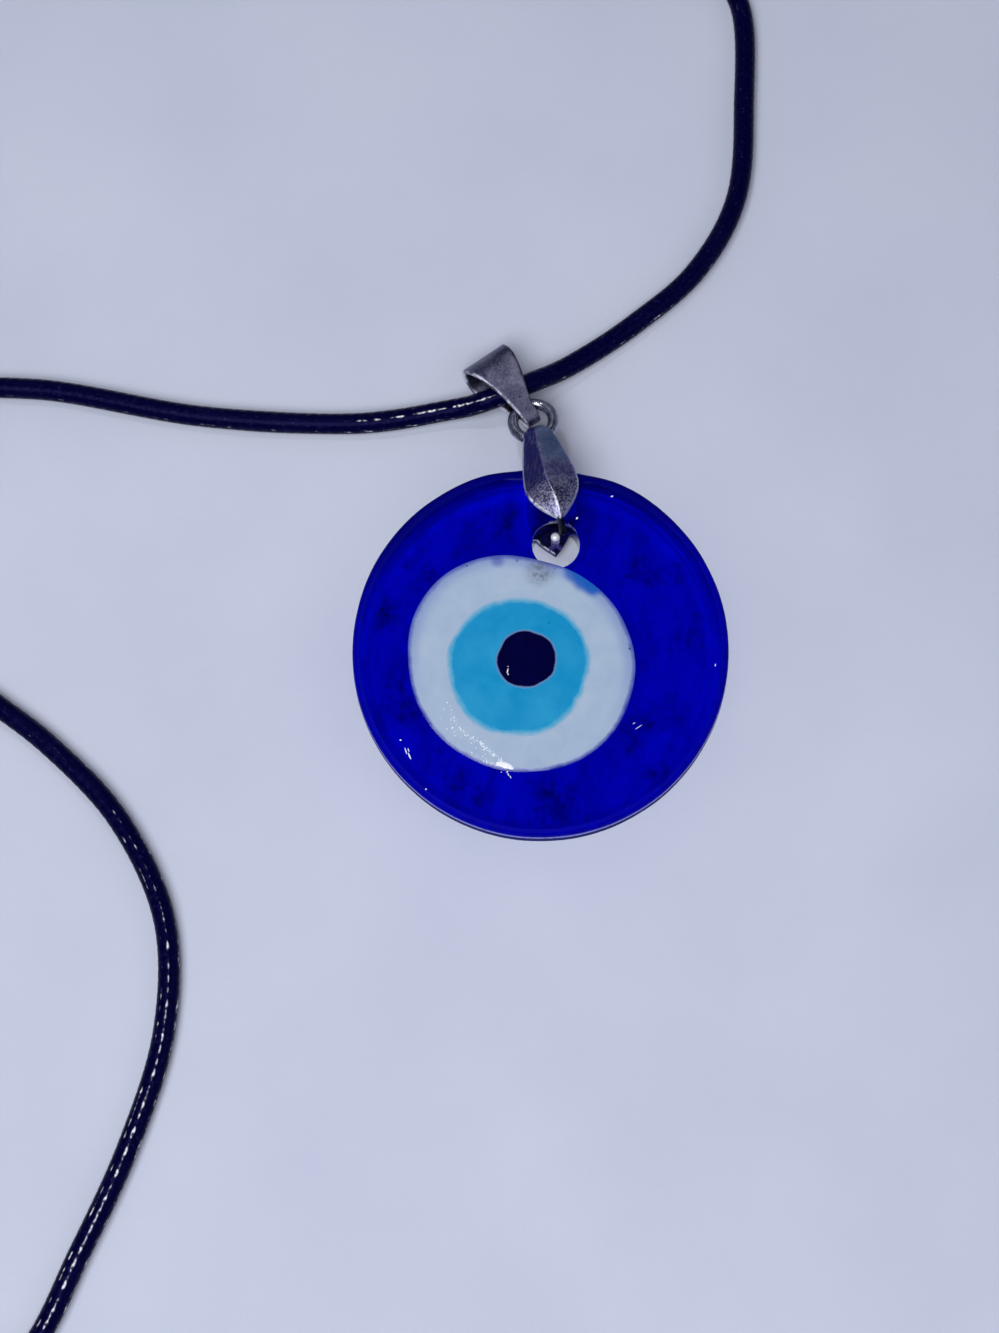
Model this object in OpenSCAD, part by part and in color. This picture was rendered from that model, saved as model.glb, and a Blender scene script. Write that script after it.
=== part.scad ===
// Glass evil eye pendant on a cord: a flat blue glass disc with a white, a light blue
// and a dark inlay, a pinch clasp that grips it through its hole, a jump ring,
// a bail band, and the cord that runs through the band and joins in a plain clasp.
// Everything lies on a flat surface. Millimetres.
// The origin is on the surface under the middle of the disc, +Y runs to its hole, +Z is up.

/* [Glass disc] */
// diameter of the glass disc
disc_d = 30; // [24:0.5:36]
// thickness of the glass disc
disc_t = 3.8; // [3:0.1:5]
// radius of the rounded rim edges
rim_r = 1.2; // [0.6:0.1:1.4]
// diameter of the hole for the clasp
hole_d = 3.8; // [3:0.1:4.5]
// glass left between the hole and the rim
hole_rim = 4.5; // [3.5:0.1:5]

/* [Eye] */
// middle of the white inlay, across
white_x = -1.4; // [-2:0.1:2]
// middle of the white inlay, along
white_y = -1.3; // [-2:0.1:1]
// mean radius of the white inlay
white_r = 8.65; // [7:0.05:9]
// depth of the white inlay
white_depth = 1.6; // [1.2:0.1:2]
// middle of the light blue iris, across
iris_x = -1.5; // [-2:0.1:2]
// middle of the light blue iris, along
iris_y = -1.6; // [-2:0.1:1]
// mean radius of the iris
iris_r = 5.4; // [4:0.05:6]
// depth of the iris
iris_depth = 0.8; // [0.6:0.1:1]
// middle of the pupil, across
pupil_x = -0.95; // [-2:0.05:2]
// middle of the pupil, along
pupil_y = -0.95; // [-2:0.05:1]
// mean radius of the pupil
pupil_r = 2.2; // [1.5:0.05:3]
// depth of the pupil
pupil_depth = 0.4; // [0.2:0.05:0.5]
// play round each inlay
inlay_gap = 0.04; // [0.02:0.01:0.1]
// height of the inlays over the glass
inlay_rise = 0.1; // [0:0.02:0.2]

/* [Pinch clasp] */
// lean of the clasp to the left of the line from the disc's middle to the hole
clasp_lean = 22.4; // [0:0.2:30]
// shift of the clasp to the right of the hole's middle
clasp_x = 0.8; // [0:0.1:1]
// thickness of the sheet of the clasp and of the band
sheet = 0.4; // [0.3:0.05:0.5]
// length of a leaf
leaf_len = 8.3; // [7.5:0.1:9]
// greatest width of a leaf
leaf_w = 4.4; // [3.6:0.1:4.8]
// height of a leaf's ridge over its edges
leaf_crown = 0.9; // [0.5:0.05:1.1]
// slope of the front leaf
leaf_slope = 16; // [14:0.5:18]
// distance of the front leaf's tip from the hole's middle
tip_v = 1.5; // [1:0.1:2]
// gap between the leaves and the glass
leaf_gap = 0.08; // [0.04:0.01:0.2]
// width of the strip that folds round the ring
fold_w = 1; // [0.8:0.1:1.2]
// play between the ring's wire and the fold
fold_play = 0.2; // [0.12:0.01:0.25]
// distance of the back leaf's top past the rim
back_top = 1.35; // [1.2:0.05:1.6]
// sideways sway of the back leaf from its top to its tip
back_sway = 0.9; // [0:0.1:1.2]
// diameter of the front leaf's pin
front_pin_d = 0.6; // [0.4:0.05:0.7]
// length of the front leaf's pin
front_pin_len = 2.25; // [1.8:0.05:2.4]
// distance of the front pin from the leaf's tip
front_pin_in = 0.38; // [0.3:0.02:0.5]
// slant of the front pin into the hole
front_pin_slant = 27; // [20:1:30]
// diameter of the back leaf's pin
back_pin_d = 0.75; // [0.5:0.05:0.9]
// height of the back pin's end over the back of the glass
back_pin_top = 1.8; // [1.2:0.1:2]
// distance of the back pin from the hole's middle, along the clasp
back_pin_v = 1.14; // [0.8:0.02:1.3]
// distance of the back pin to the left of the clasp's line
back_pin_left = 0.56; // [0.3:0.02:0.7]

/* [Jump ring] */
// outer diameter of the ring
ring_od = 4.1; // [3.8:0.05:4.5]
// diameter of its wire
ring_wire = 0.8; // [0.6:0.05:0.9]
// slope of the ring against the glass, down to the band
ring_slope = 16; // [10:0.5:20]

/* [Bail band] */
// width of the band at its wide end
band_w = 4.1; // [3.5:0.1:4.5]
// width of the band at its narrow end
band_tip_w = 1.3; // [1.1:0.1:1.5]
// outer radius of the wide end
band_r = 2; // [1.9:0.05:2.3]
// outer radius of the narrow end
band_tip_r = 0.7; // [0.65:0.05:0.8]
// direction of the band from the ring, to the left of +Y
band_lean = 43.6; // [35:0.2:50]
// distance from the ring's middle to the middle of the wide end
band_reach = 5.35; // [5:0.05:6]
// distance of the narrow end past the ring's middle
band_past = 0.2; // [0.1:0.05:0.3]

/* [Cord] */
// diameter of the cord
cord_d = 1.8; // [1.5:0.1:2]
// longest step between two rings of the cord's tube
cord_step = 5.2; // [4.8:0.1:6]

/* [Cord clasp] */
// diameter of the clasp that joins the cord's ends
barrel_d = 4; // [3.5:0.1:4.5]
// length of that clasp
barrel_len = 14; // [10:1:18]
// place of that clasp, across
barrel_x = -63.6; // [-66:0.2:-60]
// place of that clasp, along
barrel_y = -26; // [-30:1:-20]

/* [Hidden] */
disc_r = disc_d / 2;
hole_y = disc_r - hole_rim - hole_d / 2;
// where the rim runs under the front leaf's left edge, along the clasp
grip_u = clasp_x - 0.47 * leaf_w;
grip_b = hole_y * cos(clasp_lean);
grip_c = hole_y * hole_y + grip_u * grip_u + 2 * hole_y * grip_u * sin(clasp_lean);
rim_v = sqrt(grip_b * grip_b + disc_r * disc_r - grip_c) - grip_b;

// leaf profile as [share from the fold to the tip, share of the half width, share of the crown]
leaf_table = [
    [0, 0.51, 0.0], [0.06, 0.58, 0.25], [0.14, 0.67, 0.5], [0.24, 0.76, 0.7], [0.34, 0.85, 0.84],
    [0.44, 0.93, 0.93], [0.54, 0.99, 1.0], [0.62, 1.0, 1.0], [0.7, 0.94, 0.96], [0.77, 0.81, 0.86],
    [0.84, 0.63, 0.68], [0.9, 0.43, 0.48], [0.95, 0.24, 0.28], [1, 0.03, 0.05]
];

// front leaf, from its tip up to the fold, in the clasp's own plane [v, z]
front_z = disc_t - rim_r + (rim_r + leaf_gap) / cos(leaf_slope);
tip_z = front_z - (tip_v - rim_v + rim_r) * tan(leaf_slope);
top_v = tip_v + leaf_len * cos(leaf_slope);
top_z = tip_z - leaf_len * sin(leaf_slope);
// fold round the ring's wire
fold_r = ring_wire / 2 + fold_play;
fold_v = top_v - fold_r * sin(leaf_slope);
fold_z = top_z - fold_r * cos(leaf_slope);
// back leaf, flat under the glass
back_top_v = rim_v + back_top;
back_tip_v = back_top_v - leaf_len;
back_top_u = back_sway / 9;
back_tip_u = back_top_u - back_sway;
// depth of the back pin's foot, halfway through the sheet at its place on the leaf
back_pin_s = (back_top_v - back_pin_v) / leaf_len;
back_pin_root = leaf_crown * lookup(back_pin_s, [for (k = leaf_table) [k[0], k[2]]]) * 0.85 + sheet / 2;
neck_dv = fold_v - back_top_v;
neck_dz = fold_z + leaf_gap;
neck_d = sqrt(neck_dv * neck_dv + neck_dz * neck_dz);
neck_turn = 180 + asin(fold_r / neck_d) - atan2(neck_dz, neck_dv);
fold_steps = 9;

// stations of the clasp's strip: [u, v, z, heading, half width, crown]
function front_station(k) = let (
    s = leaf_table[k][0],
    d = leaf_len * (1 - s)
) [0, tip_v + d * cos(leaf_slope), tip_z - d * sin(leaf_slope), -leaf_slope,
    leaf_table[k][1] * leaf_w / 2, leaf_table[k][2] * leaf_crown];
function fold_station(k) = let (
    s = k / fold_steps,
    h = -leaf_slope - s * (neck_turn - leaf_slope),
    w = leaf_table[0][1] * leaf_w / 2
) [0, fold_v - fold_r * sin(h), fold_z + fold_r * cos(h), h,
    fold_w / 2 + (w - fold_w / 2) * max(0, 1 - 2.2 * s), 0];
function back_station(k) = let (
    s = leaf_table[k][0]
) [back_top_u + (back_tip_u - back_top_u) * s, back_top_v + (back_tip_v - back_top_v) * s, -leaf_gap,
    k == 0 ? -(neck_turn + 180) / 2 : -180,
    leaf_table[k][1] * leaf_w / 2, leaf_table[k][2] * leaf_crown];
leaf_n = len(leaf_table);
stations = concat(
    [for (k = [leaf_n - 1:-1:1]) front_station(k)],
    [for (k = [0:fold_steps]) fold_station(k)],
    [for (k = [0:leaf_n - 1]) back_station(k)]
);
ridge = [0, 0.62, 1, 0.62, 0];

// lift of the disc: its low rim edge and the back leaf's ridge both touch the surface
crest_s = 0.62;
crest_v = back_top_v + (back_tip_v - back_top_v) * crest_s;
crest_u = clasp_x + back_top_u + (back_tip_u - back_top_u) * crest_s;
crest_y = hole_y + crest_u * sin(clasp_lean) + crest_v * cos(clasp_lean);
lift_a = crest_y + disc_r - rim_r;
lift_b = leaf_gap * 1.25 + leaf_crown + sheet + rim_r;
disc_lift = atan2(lift_b, lift_a) - asin(rim_r / sqrt(lift_a * lift_a + lift_b * lift_b));

// a point of the clasp's frame, and of the disc's frame, in the part's frame
function on_clasp(u, v, z) = [
    (clasp_x + u) * cos(clasp_lean) - v * sin(clasp_lean),
    hole_y + (clasp_x + u) * sin(clasp_lean) + v * cos(clasp_lean),
    z
];
function lifted(p) = let (
    a = p.y + disc_r - rim_r,
    b = p.z - rim_r
) [p.x, rim_r - disc_r + a * cos(disc_lift) - b * sin(disc_lift),
    rim_r + a * sin(disc_lift) + b * cos(disc_lift)];

ring_r = (ring_od - ring_wire) / 2;
ring_v = fold_v + ring_r * cos(ring_slope);
ring_z = fold_z - ring_r * sin(ring_slope);
ring_at = lifted(on_clasp(0, ring_v, ring_z));
fold_at = lifted(on_clasp(0, fold_v, fold_z));
ring_fall = asin((fold_at.z - ring_at.z) / ring_r);

// the band: its axis runs from the middle of the wide end through the ring's wire
band_turn = band_lean - clasp_lean;
wire_z = ring_at.z - ring_r * cos(band_turn) * sin(ring_fall);
wire_run = band_reach - ring_r * 0.985;
band_pitch = atan2(wire_z - fold_play * 0.3 - band_r, wire_run);
band_len = (band_reach + band_past) / cos(band_pitch) - band_tip_r;
band_at = [
    ring_at.x - band_reach * sin(band_lean),
    ring_at.y + band_reach * cos(band_lean),
    band_r
];
band_g = asin((band_r - band_tip_r) / band_len);
// outline of the band: [share of its radius, share of its length, left width share, right width share]
band_table = [
    [-1.05, 0, 1, 0.96], [-0.6, 0, 0.98, 0.99], [0, 0.04, 0.68, 1.02], [0, 0.31, 0.36, 0.82],
    [0, 0.62, 0.14, 0.39], [0, 0.86, 0.04, 0.1], [0, 1.2, 0, -0.04]
];

cord_r = cord_d / 2;
cord_sides = 8;
barrel_z = barrel_d / 2;
// the cord's route, from the clasp's lower end round to its upper end
route = [
    [barrel_x, barrel_y - barrel_len / 2, barrel_z],
    [-63.7, -37, 1.9], [-63.8, -46, 0.9], [-62.6, -56, 0.9], [-56.5, -62.6, 0.9],
    [-46, -63.8, 0.9], [-36.5, -63.2, 0.9], [-30.6, -59.6, 0.9], [-27.8, -51.2, 0.9],
    [-25.6, -42.6, 0.9], [-24.6, -33.9, 0.9], [-26.2, -25.4, 0.9], [-31.2, -18.2, 0.9],
    [-38, -13, 0.9], [-46, -8.6, 0.9], [-54, -2.6, 0.9], [-57.4, 6.6, 0.9],
    [-53.6, 14.2, 0.9], [-45, 16.5, 0.9], [-31, 16.2, 0.9], [-18.5, 17.4, 0.9],
    [-10.4, 19.7, 1.3], [-7.4, 20.6, 2.4], [-4.4, 22.4, 2.6], [-1.2, 25, 1.3],
    [3.4, 29.4, 0.9], [8, 35, 0.9], [10.5, 42, 0.9], [10.1, 50.4, 0.9],
    [8.3, 60.4, 0.9], [2.7, 64.1, 0.9], [-10, 64.6, 0.9], [-44, 64.4, 0.9],
    [-57.4, 58.8, 0.9], [-63.4, 46, 0.9], [-64.7, 28, 0.9], [-64.4, 8, 0.9],
    [-63.9, -6, 0.9], [-63.6, -15.4, 1.9],
    [barrel_x, barrel_y + barrel_len / 2, barrel_z]
];
route_n = len(route);
function bend(a, b, c, d, t) = (2 * b + (c - a) * t + (2 * a - 5 * b + 4 * c - d) * t * t
    + (3 * b - a - 3 * c + d) * t * t * t) / 2;
function route_at(i, t) = let (
    p = bend(route[max(i - 1, 0)], route[i], route[i + 1], route[min(i + 2, route_n - 1)], t)
) [p.x, p.y, max(p.z, cord_r)];
function steps_in(i) = max(1, round(norm(route[i + 1] - route[i]) / cord_step));
centres = concat(
    [for (i = [0:route_n - 2]) for (k = [0:steps_in(i) - 1]) route_at(i, k / steps_in(i))],
    [route[route_n - 1]]
);
centre_n = len(centres);
function unit(v) = v / norm(v);
// the ends leave the clasp squarely, every other ring halves the bend
function ahead(i) = (i == 0 || i == centre_n - 1) ? [0, -1, 0]
    : unit(unit(centres[i + 1] - centres[i]) + unit(centres[i] - centres[i - 1]));

$fn = 48;

glass_disc();
eye_white();
iris();
pupil();
pinch_clasp();
jump_ring();
bail_band();
cord();
clasp();

// the disc's frame: its back face is at 0 and the disc leans on the back leaf
module on_disc() {
    translate([0, rim_r - disc_r, rim_r])
        rotate([disc_lift, 0, 0])
            translate([0, disc_r - rim_r, -rim_r])
                children();
}

module on_leaf_line() {
    translate([0, hole_y, 0])
        rotate([0, 0, clasp_lean])
            translate([clasp_x, 0, 0])
                children();
}

module hole_cut() {
    translate([0, hole_y, -1])
        cylinder(d = hole_d, h = disc_t + 2);
}

// outline of an inlay: a circle, a little uneven
module blob(r, two, two_at, three, three_at) {
    polygon([for (a = [0:6:354])
        let (q = r * (1 + two * cos(2 * (a - two_at)) + three * cos(3 * (a - three_at))))
        [q * cos(a), q * sin(a)]]);
}

module white_shape(grow) {
    translate([white_x, white_y])
        blob(white_r + grow, 0.04, -23, 0.011, 18);
}

module iris_shape(grow) {
    translate([iris_x, iris_y])
        blob(iris_r + grow, 0.012, 35, 0.013, 37);
}

module pupil_shape(grow) {
    translate([pupil_x, pupil_y])
        blob(pupil_r + grow, 0.02, 22, 0.011, -13);
}

// fired glass disc, round edges, pocket for the white
module glass_disc() {
    color([0.01, 0.01, 0.45])
        on_disc()
            difference() {
                rotate_extrude($fn = 96) disc_profile();
                hole_cut();
                translate([0, 0, disc_t - white_depth - inlay_gap])
                    linear_extrude(white_depth + 1) white_shape(inlay_gap);
            }
}

module disc_profile() {
    square([disc_r - rim_r, disc_t]);
    translate([0, rim_r]) square([disc_r, disc_t - 2 * rim_r]);
    translate([disc_r - rim_r, rim_r]) circle(rim_r);
    translate([disc_r - rim_r, disc_t - rim_r]) circle(rim_r);
}

module eye_white() {
    color([0.75, 0.83, 0.9])
        on_disc()
            difference() {
                translate([0, 0, disc_t - white_depth])
                    linear_extrude(white_depth + inlay_rise) white_shape(0);
                hole_cut();
                translate([0, 0, disc_t - iris_depth - inlay_gap])
                    linear_extrude(iris_depth + 1) iris_shape(inlay_gap);
            }
}

module iris() {
    color([0.13, 0.55, 0.75])
        on_disc()
            difference() {
                translate([0, 0, disc_t - iris_depth])
                    linear_extrude(iris_depth + inlay_rise) iris_shape(0);
                translate([0, 0, disc_t - pupil_depth - inlay_gap])
                    linear_extrude(pupil_depth + 1) pupil_shape(inlay_gap);
            }
}

module pupil() {
    color([0.01, 0.01, 0.15])
        on_disc()
            translate([0, 0, disc_t - pupil_depth])
                linear_extrude(pupil_depth + inlay_rise) pupil_shape(0);
}

// one folded strip of sheet with a leaf at each end, and a pin inside each leaf
module pinch_clasp() {
    color([0.45, 0.46, 0.52])
        on_disc()
            on_leaf_line() {
                folded_strip();
                // front pin, slanted into the hole
                translate([0, tip_v + front_pin_in, tip_z + sheet * 0.6])
                    rotate([180 - front_pin_slant, 0, 0])
                        cylinder(d = front_pin_d, h = front_pin_len, $fn = 24);
                // back pin with a round end, from inside the leaf's ridge
                translate([-back_pin_left, back_pin_v, -leaf_gap - back_pin_root])
                    cylinder(d = back_pin_d, h = back_pin_top + leaf_gap + back_pin_root - back_pin_d / 2, $fn = 24);
                translate([-back_pin_left, back_pin_v, back_pin_top - back_pin_d / 2])
                    sphere(d = back_pin_d, $fn = 24);
            }
}

module folded_strip() {
    pts = [for (s = stations) each concat(
        [for (j = [0:4]) strip_point(s, j, 1)],
        [for (j = [4:-1:0]) strip_point(s, j, 0)])];
    n = len(stations);
    sides = [for (i = [0:n - 2]) for (j = [0:9]) let (
        a = i * 10 + j,
        b = i * 10 + (j + 1) % 10
    ) each [[a, b + 10, b], [a, a + 10, b + 10]]];
    first = [for (j = [0:3]) each [[j, 8 - j, 9 - j], [j, j + 1, 8 - j]]];
    last = [for (t = first) [t[0] + 10 * (n - 1), t[2] + 10 * (n - 1), t[1] + 10 * (n - 1)]];
    polyhedron(pts, concat(sides, first, last));
}

function strip_point(s, j, outer) = let (
    d = s[5] * ridge[j] + outer * sheet
) [s[0] + s[4] * (j - 2) / 2, s[1] - d * sin(s[3]), s[2] + d * cos(s[3])];

module jump_ring() {
    color([0.5, 0.51, 0.57])
        on_disc()
            on_leaf_line()
                translate([0, ring_v, ring_z])
                    rotate([-ring_slope, 0, 0])
                        rotate_extrude($fn = 64)
                            translate([ring_r, 0]) circle(d = ring_wire, $fn = 32);
}

// closed loop of sheet, wide where the cord runs through, narrow in the ring
module bail_band() {
    color([0.42, 0.43, 0.5])
        translate(band_at)
            rotate([0, 0, band_lean - 90])
                rotate([0, -band_pitch, 0])
                    intersection() {
                        rotate([90, 0, 0])
                            linear_extrude(band_w + 1, center = true)
                                difference() {
                                    drop(band_r, band_tip_r);
                                    drop(band_r - sheet, band_tip_r - sheet);
                                }
                        translate([0, 0, -band_r - 1])
                            linear_extrude(2 * band_r + 2) band_plan();
                    }
}

module drop(a, b) {
    circle(a);
    translate([band_len, 0]) circle(b);
    polygon([
        [a * sin(band_g), a * cos(band_g)],
        [a * sin(band_g), -a * cos(band_g)],
        [band_len + b * sin(band_g), -b * cos(band_g)],
        [band_len + b * sin(band_g), b * cos(band_g)]
    ]);
}

// the band's left side is nearly straight and its right side bulges
module band_plan() {
    slim = band_tip_w / 2;
    more = band_w / 2 - slim;
    polygon(concat(
        [for (k = band_table) [band_r * k[0] + band_len * k[1], -slim - more * k[2]]],
        [for (i = [len(band_table) - 1:-1:0]) let (k = band_table[i])
            [band_r * k[0] + band_len * k[1], slim + more * k[3]]]
    ));
}

// round cord of its whole length, laid on the surface
module cord() {
    color([0.06, 0.06, 0.25]) {
        pts = [for (i = [0:centre_n - 1]) let (
            t = ahead(i),
            s = unit(cross(t, [0, 0, 1])),
            u = cross(s, t)
        ) each [for (k = [0:cord_sides - 1]) let (a = 360 * k / cord_sides)
            centres[i] + cord_r * (cos(a) * s + sin(a) * u)]];
        m = cord_sides;
        sides = [for (i = [0:centre_n - 2]) for (k = [0:m - 1]) let (
            a = i * m + k,
            b = i * m + (k + 1) % m
        ) each [[a, b, b + m], [a, b + m, a + m]]];
        first = [for (k = [1:m - 2]) [0, k + 1, k]];
        last = [for (k = [1:m - 2]) [0, k, k + 1] + [1, 1, 1] * (centre_n - 1) * m];
        polyhedron(pts, concat(sides, first, last));
    }
}

// plain closed barrel that joins the cord's ends
module clasp() {
    color([0.5, 0.51, 0.57])
        translate([barrel_x, barrel_y + barrel_len / 2, barrel_z])
            rotate([90, 0, 0])
                cylinder(d = barrel_d, h = barrel_len);
}
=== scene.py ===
import math
import random

import bpy
import numpy as np
from mathutils import Matrix, Vector, noise


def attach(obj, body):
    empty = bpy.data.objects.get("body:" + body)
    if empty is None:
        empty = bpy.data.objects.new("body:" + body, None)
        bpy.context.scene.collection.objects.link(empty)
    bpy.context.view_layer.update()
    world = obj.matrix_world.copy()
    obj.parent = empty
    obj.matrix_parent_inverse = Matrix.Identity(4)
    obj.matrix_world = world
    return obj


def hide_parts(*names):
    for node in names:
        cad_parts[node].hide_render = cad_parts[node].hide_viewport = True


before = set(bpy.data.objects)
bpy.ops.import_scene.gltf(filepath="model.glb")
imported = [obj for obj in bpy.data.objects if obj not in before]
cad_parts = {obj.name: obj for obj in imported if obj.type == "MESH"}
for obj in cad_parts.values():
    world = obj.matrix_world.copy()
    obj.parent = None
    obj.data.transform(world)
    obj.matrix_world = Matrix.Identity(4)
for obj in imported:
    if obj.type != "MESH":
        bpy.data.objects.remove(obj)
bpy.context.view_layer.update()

MM = 0.001

# sizes of the solids, in millimetres
R, RIM, T = 15.0, 1.2, 3.8
HOLE_R, HOLE_IN = 1.9, 4.5
HOLE_Y = R - HOLE_IN - HOLE_R
LEAN, CLASP_X = math.radians(22.4), 0.8
LEAF_LEN, LEAF_W, CROWN, SHEET, GAP = 8.3, 4.4, 0.9, 0.4, 0.08
SLOPE, TIP_V = math.radians(16), 1.5
WIDEST, GRIP_SHARE = 0.62, 0.47
BACK_PAST, BACK_U, BACK_SWAY = 1.35, 0.1, 0.9
WIRE, PLAY, RING_R, FOLD_W = 0.8, 0.2, 1.65, 1.0
BAND_R, BAND_TIP_R, BAND_W, BAND_TIP_W = 2.0, 0.7, 4.1, 1.3
BAND_LEAN, BAND_REACH, BAND_PAST = math.radians(43.6), 5.35, 0.2
CORD_R = 0.9

# frames of the disc and the clasp
grip_u = CLASP_X - GRIP_SHARE * LEAF_W
grip_b = HOLE_Y * math.cos(LEAN)
grip_c = HOLE_Y ** 2 + grip_u ** 2 + 2 * HOLE_Y * grip_u * math.sin(LEAN)
RIM_V = math.sqrt(grip_b ** 2 + R ** 2 - grip_c) - grip_b
TIP_Z = T - RIM + (RIM + GAP) / math.cos(SLOPE) - (TIP_V - RIM_V + RIM) * math.tan(SLOPE)
TOP_V = TIP_V + LEAF_LEN * math.cos(SLOPE)
TOP_Z = TIP_Z - LEAF_LEN * math.sin(SLOPE)
FOLD_R = WIRE / 2 + PLAY
FOLD_V = TOP_V - FOLD_R * math.sin(SLOPE)
FOLD_Z = TOP_Z - FOLD_R * math.cos(SLOPE)
BACK_TOP_V = RIM_V + BACK_PAST
crest_u = CLASP_X + BACK_U - BACK_SWAY * WIDEST
crest_y = HOLE_Y + crest_u * math.sin(LEAN) + (BACK_TOP_V - LEAF_LEN * WIDEST) * math.cos(LEAN)
lift_a = crest_y + R - RIM
lift_b = GAP * 1.25 + CROWN + SHEET + RIM
LIFT = math.atan2(lift_b, lift_a) - math.asin(RIM / math.hypot(lift_a, lift_b))

DISC = (Matrix.Translation((0, RIM - R, RIM)) @ Matrix.Rotation(LIFT, 4, "X")
        @ Matrix.Translation((0, R - RIM, -RIM)))
CLASP = (DISC @ Matrix.Translation((0, HOLE_Y, 0)) @ Matrix.Rotation(LEAN, 4, "Z")
         @ Matrix.Translation((CLASP_X, 0, 0)))
RING_V = FOLD_V + RING_R * math.cos(SLOPE)
RING_Z = FOLD_Z - RING_R * math.sin(SLOPE)
RING = CLASP @ Matrix.Translation((0, RING_V, RING_Z)) @ Matrix.Rotation(-SLOPE, 4, "X")

# frame of the band, whose tip holds the ring's wire
TIP_DROP, WIRE_SHARE = 0.3, 0.985
ring_at = RING.translation
fold_at = CLASP @ Vector((0, FOLD_V, FOLD_Z))
fall = math.asin((fold_at.z - ring_at.z) / RING_R)
wire_z = ring_at.z - RING_R * math.cos(BAND_LEAN - LEAN) * math.sin(fall)
PITCH = math.atan2(wire_z - PLAY * TIP_DROP - BAND_R, BAND_REACH - RING_R * WIRE_SHARE)
BAND_LEN = (BAND_REACH + BAND_PAST) / math.cos(PITCH) - BAND_TIP_R
BAND = (Matrix.Translation((ring_at.x - BAND_REACH * math.sin(BAND_LEAN),
                            ring_at.y + BAND_REACH * math.cos(BAND_LEAN), BAND_R))
        @ Matrix.Rotation(BAND_LEAN - math.pi / 2, 4, "Z") @ Matrix.Rotation(-PITCH, 4, "Y"))


# helpers
def build(name, verts, faces, matrix, material, slot, node, smooth=None, values=None):
    """A mesh from points in millimetres that stands for a node of the part and rides on it.

    smooth is how many of the faces, from the first, are shaded smooth: without it, all of them.
    """
    me = bpy.data.meshes.new(name)
    points = np.asarray(verts, float)
    if matrix is not None:
        m = np.array(matrix)
        points = points @ m[:3, :3].T + m[:3, 3]
    me.from_pydata((points * MM).tolist(), [], faces)
    me.validate()
    count = len(me.polygons)
    smooth = count if smooth is None else smooth
    me.polygons.foreach_set("use_smooth", [i < smooth for i in range(count)])
    for key, data in (values or {}).items():
        att = me.attributes.new(key, "FLOAT", "POINT")
        att.data.foreach_set("value", np.asarray(data, float))
    me.materials.append(material)
    me.update()
    ob = bpy.data.objects.new(name, me)
    bpy.context.collection.objects.link(ob)
    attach(ob, "root")
    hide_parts(node)
    return ob


def tube_faces(rings, sides, closed=False, start=0):
    """Quads between rings of points; a closed tube joins its last ring to its first."""
    out = []
    for i in range(rings if closed else rings - 1):
        a, b = start + i * sides, start + ((i + 1) % rings) * sides
        out += [(a + j, b + j, b + (j + 1) % sides, a + (j + 1) % sides) for j in range(sides)]
    return out


def caps(rings, sides, start=0):
    """The two ends of a tube."""
    return [tuple(range(start, start + sides)),
            tuple(reversed(range(start + (rings - 1) * sides, start + rings * sides)))]


def turned_over(faces):
    return [tuple(reversed(f)) for f in faces]


def joined(*parts):
    """One mesh of several, each given as its points and faces."""
    verts, faces = [], []
    for v, f in parts:
        faces += [tuple(i + len(verts) for i in q) for q in f]
        verts += list(v)
    return verts, faces


def smoothed(values, rounds):
    v = np.array(values, float)
    for _ in range(rounds):
        v[1:-1] = (v[:-2] + 2 * v[1:-1] + v[2:]) / 4
    return v


def limited(x):
    return min(1.0, max(0.0, x))


def srgb(*levels):
    """A colour from its levels of 0 to 255."""
    return tuple(c / 255 / 12.92 if c <= 10.3 else ((c / 255 + 0.055) / 1.055) ** 2.4 for c in levels)


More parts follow.
